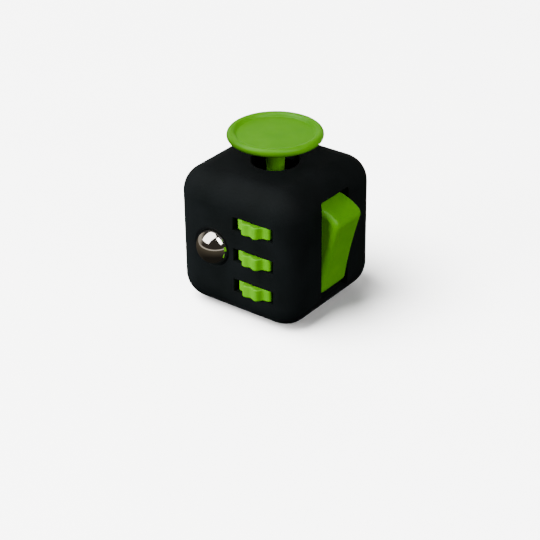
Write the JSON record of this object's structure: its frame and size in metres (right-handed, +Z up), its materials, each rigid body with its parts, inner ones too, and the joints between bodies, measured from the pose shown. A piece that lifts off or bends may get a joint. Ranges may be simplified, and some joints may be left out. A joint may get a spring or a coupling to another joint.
{
  "type": "fidget cube",
  "caption": "Palm-sized rounded black cube desk toy with a joystick, ribbed wheels and ball, rocker, push buttons, spinning dial and thumb rest, one on each face.",
  "frame": {"origin": "centre of the flat bottom face that the cube rests on, in the plane of that face (over the thumb rest)", "axes": "+Z up through the joystick, -Y out of the face with the wheels and the ball, +X out of the face with the rocker"},
  "size_m": [0.0387, 0.0378, 0.0403],
  "materials": {
    "black_abs": "soft-touch coated",
    "green_abs": "moulded satin gloss",
    "polished_steel": "mirror polished",
    "plain_steel": "drawn or zinc plated",
    "spring_brass": "rolled",
    "grey_acetal": "as moulded",
    "white_acetal": "as moulded",
    "silicone": "as moulded"
  },
  "bodies": {
    "casing": {"main_shell": "black_abs", "bottom_cover": "black_abs", "stick_bracket": "grey_acetal", "stick_bracket_screws": "plain_steel", "stick_spring": "plain_steel", "wheel_axle": "plain_steel", "roll_bracket": "grey_acetal", "roll_bracket_screws": "plain_steel", "ball_spring": "plain_steel", "rocker_pin": "plain_steel", "rocker_cradle": "grey_acetal", "rocker_cradle_screws": "plain_steel", "rocker_leaf_spring": "plain_steel", "snap_dome_1": "plain_steel", "snap_dome_2": "plain_steel", "snap_dome_3": "plain_steel", "silent_pad_1": "silicone", "silent_pad_2": "silicone", "button_plate": "grey_acetal", "button_plate_screws": "plain_steel", "dial_spring_washer": "spring_brass"},
    "gimbal": {"gimbal_ring": "grey_acetal", "stick_pin": "plain_steel"},
    "stick": {"stick_cap": "green_abs", "stick_dome": "black_abs", "stick_hub": "grey_acetal"},
    "wheel_top": {"wheel_top": "green_abs"},
    "wheel_middle": {"wheel_middle": "green_abs"},
    "wheel_bottom": {"wheel_bottom": "green_abs"},
    "ball_carrier": {"ball_cup": "white_acetal"},
    "ball": {"ball": "polished_steel"},
    "rocker": {"rocker": "green_abs"},
    "button_1": {"button_1": "green_abs"},
    "button_2": {"button_2": "green_abs"},
    "button_3": {"button_3": "green_abs"},
    "button_4": {"button_4": "green_abs"},
    "button_5": {"button_5": "green_abs"},
    "dial": {"dial": "green_abs", "dial_washer": "plain_steel", "dial_screw": "plain_steel"}
  },
  "joints": [
    {"name": "gimbal_tilt", "type": "hinge", "parent": "casing", "child": "gimbal", "pos_m": [0, 0, 0.025], "axis": [1, 0, 0], "range_deg": [-14, 14], "stiffness_Nm_per_rad": 0.012, "deforming": ["stick_spring"]},
    {"name": "stick_tilt", "type": "hinge", "parent": "gimbal", "child": "stick", "pos_m": [0, 0, 0.025], "axis": [0, 1, 0], "range_deg": [-14, 14], "stiffness_Nm_per_rad": 0.012, "deforming": ["stick_spring"]},
    {"name": "wheel_top_spin", "type": "hinge", "parent": "casing", "child": "wheel_top", "pos_m": [0.006, -0.0124, 0.0242], "axis": [0, 0, 1], "continuous": true},
    {"name": "wheel_middle_spin", "type": "hinge", "parent": "casing", "child": "wheel_middle", "pos_m": [0.006, -0.0124, 0.0165], "axis": [0, 0, 1], "continuous": true},
    {"name": "wheel_bottom_spin", "type": "hinge", "parent": "casing", "child": "wheel_bottom", "pos_m": [0.006, -0.0124, 0.0088], "axis": [0, 0, 1], "continuous": true},
    {"name": "ball_press", "type": "slide", "parent": "casing", "child": "ball_carrier", "axis": [0, 1, 0], "range_m": [0, 0.0006], "stiffness_N_per_m": 600, "springref_m": -0.0008, "deforming": ["ball_spring"]},
    {"name": "ball_roll", "type": "hinge", "parent": "ball_carrier", "child": "ball", "pos_m": [-0.0053, -0.0153, 0.0165], "axis": [1, 0, 0], "continuous": true},
    {"name": "rocker_flip", "type": "hinge", "parent": "casing", "child": "rocker", "pos_m": [0.0126, 0, 0.0165], "axis": [0, -1, 0], "range_deg": [0, 27.2], "deforming": ["rocker_leaf_spring"]},
    {"name": "button_1_press", "type": "slide", "parent": "casing", "child": "button_1", "axis": [0, -1, 0], "range_m": [0, 0.001], "stiffness_N_per_m": 900, "springref_m": -0.0003, "deforming": ["snap_dome_1"]},
    {"name": "button_2_press", "type": "slide", "parent": "casing", "child": "button_2", "axis": [0, -1, 0], "range_m": [0, 0.001], "stiffness_N_per_m": 900, "springref_m": -0.0003, "deforming": ["snap_dome_2"]},
    {"name": "button_3_press", "type": "slide", "parent": "casing", "child": "button_3", "axis": [0, -1, 0], "range_m": [0, 0.001], "stiffness_N_per_m": 900, "springref_m": -0.0003, "deforming": ["snap_dome_3"]},
    {"name": "button_4_press", "type": "slide", "parent": "casing", "child": "button_4", "axis": [0, -1, 0], "range_m": [0, 0.001], "stiffness_N_per_m": 600, "springref_m": -0.0003, "deforming": ["silent_pad_1"]},
    {"name": "button_5_press", "type": "slide", "parent": "casing", "child": "button_5", "axis": [0, -1, 0], "range_m": [0, 0.001], "stiffness_N_per_m": 600, "springref_m": -0.0003, "deforming": ["silent_pad_2"]},
    {"name": "dial_spin", "type": "hinge", "parent": "casing", "child": "dial", "pos_m": [-0.0165, 0, 0.0165], "axis": [1, 0, 0], "continuous": true}
  ]
}
